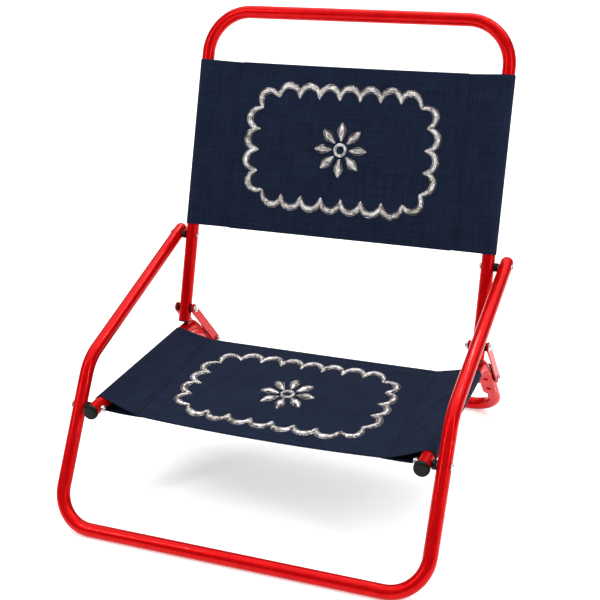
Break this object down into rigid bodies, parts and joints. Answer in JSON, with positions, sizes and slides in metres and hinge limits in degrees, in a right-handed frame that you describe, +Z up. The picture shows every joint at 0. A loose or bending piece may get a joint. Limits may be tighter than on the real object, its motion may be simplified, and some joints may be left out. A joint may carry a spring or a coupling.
{
  "type": "folding camp chair",
  "caption": "Low folding chair with bent tube frames, side link plates and navy fabric slings for the seat and the back.",
  "frame": {"origin": "on the floor, at the middle of the chair's footprint box", "axes": "+X to the right of someone looking at the chair's front, +Y to the rear, +Z up"},
  "size_m": [0.627, 0.6314, 0.7206],
  "materials": {
    "red_paint": "gloss",
    "black_plastic": "satin",
    "zinc_steel": "satin",
    "navy_fabric": "matt plain weave"
  },
  "bodies": {
    "seat": {"seat_rail_left": "red_paint", "seat_rail_right": "red_paint", "rail_cap_left": "black_plastic", "rail_cap_right": "black_plastic", "rear_leg_frame": "red_paint", "rear_leg_plugs": "black_plastic", "spreader_rod": "red_paint", "leg_rivets_left": "red_paint", "leg_rivets_right": "red_paint", "link_pivot_bolt_left": "zinc_steel", "link_pivot_bolt_right": "zinc_steel", "link_pivot_nuts": "zinc_steel", "link_pivot_spacers": "black_plastic", "seat_sling": "navy_fabric", "seat_sling_screws": "zinc_steel"},
    "front": {"front_frame": "red_paint", "rail_bolt_left": "zinc_steel", "rail_bolt_right": "zinc_steel", "rail_bolt_nuts": "zinc_steel", "rail_spacers": "black_plastic", "arm_bolt_left": "zinc_steel", "arm_bolt_right": "zinc_steel", "arm_spacers": "black_plastic"},
    "back": {"back_frame": "red_paint", "back_plugs": "black_plastic", "arm_stud_left": "zinc_steel", "arm_stud_right": "zinc_steel", "back_sling": "navy_fabric"},
    "links": {"link_outer_left": "red_paint", "link_outer_right": "red_paint", "link_inner_left": "red_paint", "link_inner_right": "red_paint", "back_bolt_left": "zinc_steel", "back_bolt_right": "zinc_steel", "back_bolt_nuts": "zinc_steel", "back_spacers": "black_plastic"}
  },
  "joints": [
    {"name": "link_fold", "type": "hinge", "parent": "seat", "child": "links", "pos_m": [0, 0.20782, 0.11288], "axis": [1, 0, 0], "range_deg": [-112, 0]},
    {"name": "back_fold", "type": "hinge", "parent": "links", "child": "back", "pos_m": [0, 0.12274, 0.20969], "axis": [1, 0, 0], "range_deg": [0, 207]},
    {"name": "front_fold", "type": "hinge", "parent": "seat", "child": "front", "pos_m": [0, -0.20301, 0.17], "axis": [1, 0, 0], "range_deg": [-21, 0]}
  ],
  "couplings": [
    {"joint": "link_fold", "follows": "back_fold", "ratio": -0.54106},
    {"joint": "front_fold", "follows": "back_fold", "ratio": -0.10145}
  ]
}
